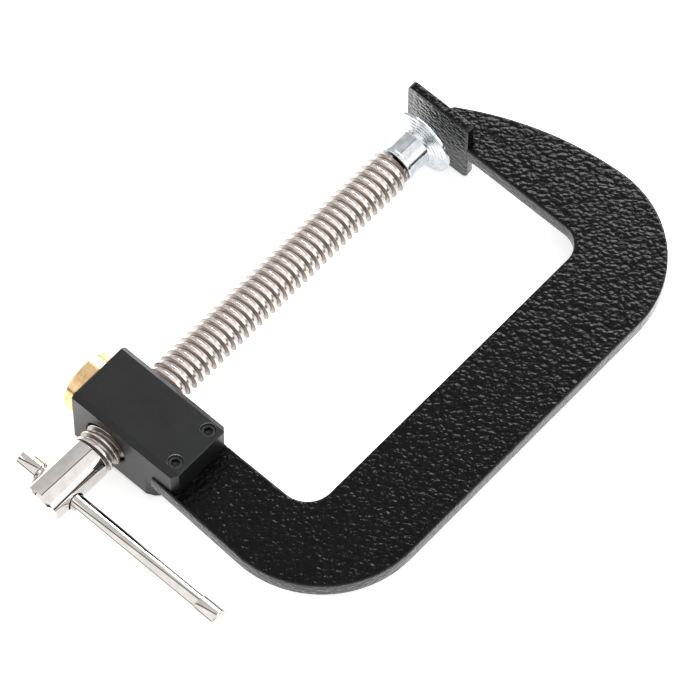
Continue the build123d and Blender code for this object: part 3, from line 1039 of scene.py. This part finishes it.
# ------------------------------------------------------------------ spindle, stud and pad
@dataclass
class Spindle:
    """The threaded spindle, its head, the ball stud and the swivel pad. Sizes in mm."""

    pitch: float = 2.86
    depth: float = 1.7
    crest_width: float = 0.95
    flank_angle: float = 15.0
    crest_round: float = 0.16
    crest_relief: float = 0.05
    columns: int = 64
    head_overlap: float = 0.5
    head_length: float = 22.0
    head_chamfer: float = 0.8
    hole_radius: float = 3.1
    hole_break: float = 0.14
    tip_chamfer: float = 1.0
    stud_neck: float = 2.2
    stud_shank: float = 2.45
    stud_collar: float = 3.6
    collar_gap: float = 0.1
    collar_thickness: float = 1.0
    pad_neck: float = 6.0
    pad_band: float = 6.4
    pad_lip: float = 3.3
    pad_rim: float = 1.3
    pad_dish: float = 1.7
    back_ring_height: float = 0.11
    back_ring_pitch: float = 1.15
    face_ring_height: float = 0.05
    face_ring_pitch: float = 1.1

    def thread_profile(self) -> Points:
        """One pitch of the thread's section: root, flank, crest, flank, with rounded corners.

        Returns:
            Rows of (distance along the axis, from 0 to the pitch; depth below the crest).
        """
        flank = self.depth * math.tan(math.radians(self.flank_angle))
        half_crest = self.crest_width / 2
        middle = self.pitch / 2
        corners = [
            (0, self.depth, 0),
            (middle - half_crest - flank, self.depth, self.crest_round),
            (middle - half_crest, 0, self.crest_round),
            (middle + half_crest, 0, self.crest_round),
            (middle + half_crest + flank, self.depth, self.crest_round),
            (self.pitch, self.depth, 0),
        ]
        return rounded(corners, 3, closed=False)

    def thread(self) -> bpy.types.Object:
        """The thread, as one helical surface.

        A point at angle t on row k of the section lies at the row's own distance plus the
        pitch times t over a full turn, so rows follow the helix. Its radius is the section's
        depth at that phase, taken off the crest's radius, and never more than the tip's
        chamfer allows. Rows past either end are held at the end, where they merge to a ring.

        Returns:
            The threaded part of the spindle, closed at both ends.
        """
        low, high = box_mm("spindle")
        start = low[1] + self.head_length - self.head_overlap
        end = high[1]
        crest = (high[0] - low[0]) / 2 - self.crest_relief
        phase_zero = low[1] + self.head_length
        section = self.thread_profile()
        rows_each = len(section) - 1
        first_turn = -2
        turns = int(math.ceil((end - phase_zero) / self.pitch)) + 3
        turn = np.arange(first_turn, turns)
        run = (turn[:, None] * self.pitch + section[None, :-1, 0]).reshape(-1)
        angle = np.linspace(0, 2 * math.pi, self.columns, endpoint=False)
        helix = self.pitch * angle / (2 * math.pi)
        y = np.clip(phase_zero + run[:, None] + helix[None, :], start, end)
        phase = np.mod(y - phase_zero - helix[None, :], self.pitch)
        radius = crest - np.interp(phase, section[:, 0], section[:, 1])
        cone = crest - np.clip(y - (end - self.tip_chamfer), 0, self.tip_chamfer)
        radius = np.minimum(radius, cone)
        x = radius * np.sin(angle)
        z = radius * np.cos(angle)
        rows = len(run)
        points = np.stack((x, y, z), -1).reshape(-1, 3)
        plain = grid_faces(rows, self.columns, wrap_columns=False)
        row = np.arange(rows - rows_each - 1)
        last = self.columns - 1
        seam = np.stack(
            (
                row * self.columns + last,
                (row + rows_each) * self.columns,
                (row + rows_each + 1) * self.columns,
                (row + 1) * self.columns + last,
            ),
            1,
        )
        ends = np.array(((0, start, 0), (0, end, 0)))
        count = len(points)
        ring = np.arange(self.columns)
        ahead = (ring + 1) % self.columns
        top = (rows - 1) * self.columns
        fans = [np.stack((ring, ahead, np.full_like(ring, count)), 1).tolist()]
        fans.append(np.stack((top + ring, top + ahead, np.full_like(ring, count + 1)), 1).tolist())
        faces = plain.tolist() + seam.tolist() + fans[0] + fans[1]
        return make_object("spindle_thread", np.concatenate((points, ends)), faces, sharp=60.0)

    def head(self) -> bpy.types.Object:
        """The plain head with a hole across it for the bar."""
        low, high = box_mm("spindle")
        radius = (high[0] - low[0]) / 2
        start = low[1]
        end = start + self.head_length
        bar_low, bar_high = box_mm("tommy_bar")
        hole_y = (bar_low[1] + bar_high[1]) / 2
        profile = rounded(
            [
                (start, 0, 0),
                (start, radius - self.head_chamfer, 0.12),
                (start + self.head_chamfer, radius, 0.2),
                (end, radius, 0.12),
                (end, 0, 0),
            ],
            4,
            closed=False,
        )
        body = turned("spindle_head", profile, Axis.Y, (0, 0, 0), columns=160)
        reach = 2 * radius
        drill = np.array([(-reach, 0), (-reach, self.hole_radius), (reach, self.hole_radius), (reach, 0)])
        cutter = turned("drill", drill, Axis.X, (0, hole_y, 0), columns=96)
        cut = body.modifiers.new("cross_hole", "BOOLEAN")
        cut.operation = "DIFFERENCE"
        cut.solver = "EXACT"
        cut.object = cutter
        bpy.context.view_layer.update()
        graph = bpy.context.evaluated_depsgraph_get()
        drilled = bpy.data.meshes.new_from_object(body.evaluated_get(graph))
        body.modifiers.clear()
        body.data = drilled
        tidy_mesh(drilled, 32.0)
        bpy.data.objects.remove(cutter)
        ease = body.modifiers.new("hole_edge", "BEVEL")
        ease.width = self.hole_break * MM
        ease.segments = 2
        ease.limit_method = "ANGLE"
        ease.angle_limit = math.radians(40)
        return body

    def stud(self) -> bpy.types.Object:
        """The ball stud: shank, collar, neck and ball."""
        low, high = box_mm("ball_stud")
        ball = (high[0] - low[0]) / 2
        ball_y = high[1] - ball
        tip = box_mm("spindle")[1][1]
        neck = self.stud_neck
        collar = tip + self.collar_gap
        join = math.degrees(math.asin(neck / ball))
        shank = rounded(
            [
                (low[1], 0, 0),
                (low[1], self.stud_shank, 0.2),
                (collar, self.stud_shank, 0),
                (collar, self.stud_collar, 0.15),
                (collar + self.collar_thickness, self.stud_collar, 0.15),
                (collar + self.collar_thickness, neck, 0.2),
                (ball_y - ball * math.cos(math.radians(join)), neck, 0),
            ],
            4,
            closed=False,
        )
        sphere = arc((ball_y, 0), ball, 180 - join, 0, 24)
        profile = np.concatenate((shank, sphere[1:]))
        return turned("ball_stud_skin", profile, Axis.Y, (0, 0, 0), columns=72)

    def pad(self) -> bpy.types.Object:
        """The swivel pad: flange with turned rings, neck, groove, band and mouth.

        The flange's back and face carry shallow rings, a cosine of the radius.

        Returns:
            The pad.
        """
        low, high = box_mm("swivel_pad")
        rim = (high[0] - low[0]) / 2
        mouth_y, face_y = low[1], high[1]
        ball_low, ball_high = box_mm("ball_stud")
        ball = (ball_high[0] - ball_low[0]) / 2
        ball_y = ball_high[1] - ball
        socket = ball + 0.08
        lip = self.pad_lip
        lip_angle = 180 - math.degrees(math.asin(lip / socket))
        neck, band = self.pad_neck, self.pad_band
        radii = np.linspace(rim - 0.5, 0.0, 90)
        ripple = self.face_ring_height * (1 + np.cos(2 * math.pi * radii / self.face_ring_pitch))
        face = np.stack((face_y - ripple, radii), 1)
        rim_y = face_y - self.pad_rim
        back_r = np.linspace(rim - 0.4, neck + 0.7, 50)
        share = (rim - back_r) / (rim - neck)
        wave = self.back_ring_height * np.cos(2 * math.pi * back_r / self.back_ring_pitch)
        back = np.stack((rim_y - self.pad_dish * share - wave, back_r), 1)
        edge = rounded(
            [
                (rim_y - 0.03, rim - 0.4, 0),
                (rim_y + 0.05, rim, 0.2),
                (face_y - 0.25, rim, 0.2),
                (face_y - 0.02, rim - 0.45, 0),
            ],
            4,
            closed=False,
        )
        rest = rounded(
            [
                (rim_y - 1.6, neck + 0.65, 0),
                (rim_y - 2.1, neck, 0.4),
                (mouth_y + 1.7, neck, 0.1),
                (mouth_y + 1.62, neck - 0.1, 0.05),
                (mouth_y + 1.4, neck - 0.1, 0.05),
                (mouth_y + 1.3, band, 0.12),
                (mouth_y, band, 0.35),
                (mouth_y, 5.1, 0.15),
                (ball_y + socket * math.cos(math.radians(lip_angle)), lip, 0),
            ],
            4,
            closed=False,
        )
        hollow = arc((ball_y, 0), socket, lip_angle, 0, 18)
        outside = np.concatenate((face[::-1], edge[::-1][1:], back[1:], rest, hollow[1:]))
        return turned("swivel_pad_skin", outside, Axis.Y, (0, 0, 0), columns=128)

    def build(self) -> None:
        """Builds and dresses the spindle's pieces."""
        polished = TurnedMetal(
            name="polished_stainless_head",
            slot="spindle_steel",
            light="#d2cdc9",
            dark="#c6c1bd",
            roughness=0.06,
            spread=0.03,
            ring_pitch=0.35,
            ring_height=0.0008,
        )
        dark_steel = TurnedMetal(
            name="oiled_dark_stud", slot="spindle_steel", light="#4c4a49", dark="#2c2b2b", roughness=0.3
        )
        zinc = TurnedMetal(
            name="bright_zinc_plate",
            slot="zinc_pad",
            light="#cdd1d4",
            dark="#b4babf",
            roughness=0.14,
            spread=0.06,
            ring_pitch=0.5,
            ring_height=0.002,
            mottle_size=2.2,
        )
        settle(self.thread(), THREAD, "screw", ["spindle"])
        settle(self.head(), polished, "screw", ["spindle"])
        settle(self.stud(), dark_steel, "stud", ["ball_stud"])
        settle(self.pad(), zinc, "pad", ["swivel_pad"])


# ------------------------------------------------------------------ handle bar
@dataclass
class HandleBar:
    """The sliding bar and its two caps. Sizes in mm."""

    chamfer: float = 0.35

    def bar(self) -> bpy.types.Object:
        """The plain bar."""
        low, high = box_mm("tommy_bar")
        radius = (high[1] - low[1]) / 2
        centre_y = (high[1] + low[1]) / 2
        profile = rounded(
            [(low[0], 0, 0), (low[0], radius, 0.3), (high[0], radius, 0.3), (high[0], 0, 0)],
            3,
            closed=False,
        )
        return turned("tommy_bar_skin", profile, Axis.X, (0, centre_y, 0), columns=64)

    def cap(self, node: str, inward: int) -> bpy.types.Object:
        """A cap pressed on the bar's end: a shallow groove behind a chamfered nose.

        Args:
            node: the cap's CAD node.
            inward: 1 when the bar lies towards +X from the cap, -1 when towards -X.

        Returns:
            The cap.
        """
        low, high = box_mm(node)
        radius = (high[1] - low[1]) / 2
        centre_y = (high[1] + low[1]) / 2
        length = high[0] - low[0]
        bore = 2.7
        shape = rounded(
            [
                (0, 0, 0),
                (0, radius - self.chamfer, 0.15),
                (self.chamfer, radius, 0.15),
                (length - self.chamfer, radius, 0.15),
                (length, radius - self.chamfer, 0.1),
                (length, bore + 0.02, 0),
                (length - 0.4, bore + 0.02, 0),
                (length - 0.4, 0, 0),
            ],
            3,
            closed=False,
        )
        along = low[0] + shape[:, 0] if inward > 0 else high[0] - shape[:, 0]
        profile = np.stack((along, shape[:, 1]), 1)
        return turned(f"{node}_skin", profile, Axis.X, (0, centre_y, 0), columns=72)

    def build(self) -> None:
        """Builds and dresses the bar and its caps."""
        low, high = box_mm("tommy_bar")
        centre = (0.0, (low[1] + high[1]) / 2, 0.0)
        polished = TurnedMetal(
            name="polished_stainless_bar",
            slot="polished_bar",
            light="#d2cdc8",
            dark="#c5c0bb",
            roughness=0.06,
            spread=0.03,
            ring_pitch=0.6,
            ring_height=0.0008,
            axis=Axis.X,
            centre=centre,
            mottle_size=5.0,
        )
        settle(self.bar(), polished, "handle", ["tommy_bar"])
        settle(self.cap("bar_cap_far", 1), polished, "handle", ["bar_cap_far"])
        settle(self.cap("bar_cap_near", -1), polished, "handle", ["bar_cap_near"])


# ------------------------------------------------------------------ studio
@dataclass
class Softbox:
    """A rectangular studio light. Distances in metres, power in watts."""

    name: str
    place: tuple[float, float, float]
    size: tuple[float, float]
    power: float
    colour: str = "#ffffff"

    def build(self, target: Vector) -> None:
        """Hangs the light and turns it to the target."""
        light = bpy.data.lights.new(self.name, "AREA")
        light.shape = "RECTANGLE"
        light.size, light.size_y = self.size
        light.energy = self.power
        light.color = linear(self.colour)[:3]
        holder = bpy.data.objects.new(self.name, light)
        holder.location = self.place
        holder.rotation_euler = (target - holder.location).to_track_quat("-Z", "Y").to_euler()
        bpy.context.scene.collection.objects.link(holder)


@dataclass
class Studio:
    """White paper floor, soft sky, softboxes and the camera. Distances in metres."""

    eye: tuple[float, float, float] = (0.54574, -0.64778, 1.41631)
    aim: tuple[float, float, float] = (0.03255, -0.07374, 0.0)
    roll: float = 0.345
    focal_length: float = 278.5
    floor_reach: float = 8.0
    white_wall: tuple[float, float, float] = (0.939, -0.344, 0.0)
    boxes: list[Softbox] = field(
        default_factory=lambda: [
            Softbox("key_softbox", (-1.1, -0.5, 1.1), (0.9, 0.9), 3.0),
            Softbox("back_softbox", (-0.1, 0.42, 0.34), (0.5, 0.26), 6.5),
            Softbox("side_softbox", (1.4, 0.5, 0.8), (0.8, 0.6), 3.0),
        ]
    )

    def floor(self) -> None:
        """The paper, a flat grid just under the clamp."""
        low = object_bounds()[0]
        reach = self.floor_reach / MM
        side = np.linspace(-reach, reach, 9)
        x, y = np.meshgrid(side, side, indexing="ij")
        z = np.full_like(x, low[2] / MM)
        points = np.stack((x, y, z), -1).reshape(-1, 3)
        faces = grid_faces(9, 9, wrap_columns=False).tolist()
        paper = make_object("background_paper", points, faces)
        dress(paper, MattPaper().material())
        paper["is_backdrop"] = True

    def sky(self) -> None:
        """A studio's walls: a white one, a grey one, a dark seam between, and a dark skirting.

        The seam's side is the direction's dot product with the white wall's own direction. Only
        the white wall has the skirting.
        """
        world = bpy.data.worlds.new("studio")
        bpy.context.scene.world = world
        world.use_nodes = True
        tree = world.node_tree
        tree.nodes.clear()
        place = add_node(tree, "ShaderNodeTexCoord").outputs["Generated"]
        parts = add_node(tree, "ShaderNodeSeparateXYZ", links={0: place})
        side = add_node(
            tree, "ShaderNodeVectorMath", {1: self.white_wall}, {0: place}, operation="DOT_PRODUCT"
        )
        turn = add_node(
            tree, "ShaderNodeMath", {1: 0.5, 2: 0.5}, {0: side.outputs["Value"]}, operation="MULTIPLY_ADD"
        )
        stops = ((0.0, 0.55), (0.37, 0.66), (0.38, 0.03), (0.405, 0.03), (0.415, 1.0), (1.0, 1.0))
        walls = add_ramp(tree, turn.outputs[0], stops)
        grey_side = add_ramp(tree, turn.outputs[0], ((0.39, 1.0), (0.42, 0.0)))
        skirting = add_ramp(tree, parts.outputs[2], ((0.13, 0.02), (0.19, 1.0)))
        keep = add_node(
            tree,
            "ShaderNodeMath",
            links={0: grey_side.outputs[0], 1: skirting.outputs[0]},
            operation="MAXIMUM",
        )
        level = add_node(
            tree,
            "ShaderNodeMath",
            links={0: walls.outputs[0], 1: keep.outputs[0]},
            operation="MULTIPLY",
        )
        lit = add_node(tree, "ShaderNodeBackground", {"Strength": 1.4}, {"Color": level.outputs[0]})
        plain = add_node(tree, "ShaderNodeBackground", {"Color": linear("#f4f4f4"), "Strength": 1.0})
        path = add_node(tree, "ShaderNodeLightPath")
        mixed = add_node(
            tree,
            "ShaderNodeMixShader",
            links={0: path.outputs["Is Camera Ray"], 1: lit.outputs[0], 2: plain.outputs[0]},
        )
        add_node(tree, "ShaderNodeOutputWorld", links={"Surface": mixed.outputs[0]})

    def camera(self) -> None:
        """The camera, aimed at a point on the clamp's middle plane."""
        lens = bpy.data.cameras.new("camera")
        lens.lens = self.focal_length
        lens.sensor_width = 36.0
        lens.clip_start = 0.01
        lens.clip_end = 100.0
        holder = bpy.data.objects.new("camera", lens)
        eye, aim = Vector(self.eye), Vector(self.aim)
        turn = (aim - eye).to_track_quat("-Z", "Y")
        roll = Quaternion((0, 0, 1), math.radians(self.roll))
        holder.location = eye
        holder.rotation_mode = "QUATERNION"
        holder.rotation_quaternion = turn @ roll
        bpy.context.scene.collection.objects.link(holder)
        bpy.context.scene.camera = holder

    def build(self) -> None:
        """Sets up the floor, lights and camera."""
        self.camera()
        self.floor()
        self.sky()
        low, high = (Vector(corner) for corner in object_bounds())
        for box in self.boxes:
            box.build((low + high) / 2)
        bpy.context.scene.view_settings.view_transform = "Standard"


def main() -> None:
    """Builds the clamp and its studio."""
    logging.basicConfig(level=logging.INFO, format="%(name)s: %(message)s")
    for assembly in (ClampFrame(), NutBlock(), Spindle(), HandleBar(), Studio()):
        assembly.build()
        LOG.info("%s is built", type(assembly).__name__)


if __name__ == "__main__":
    main()
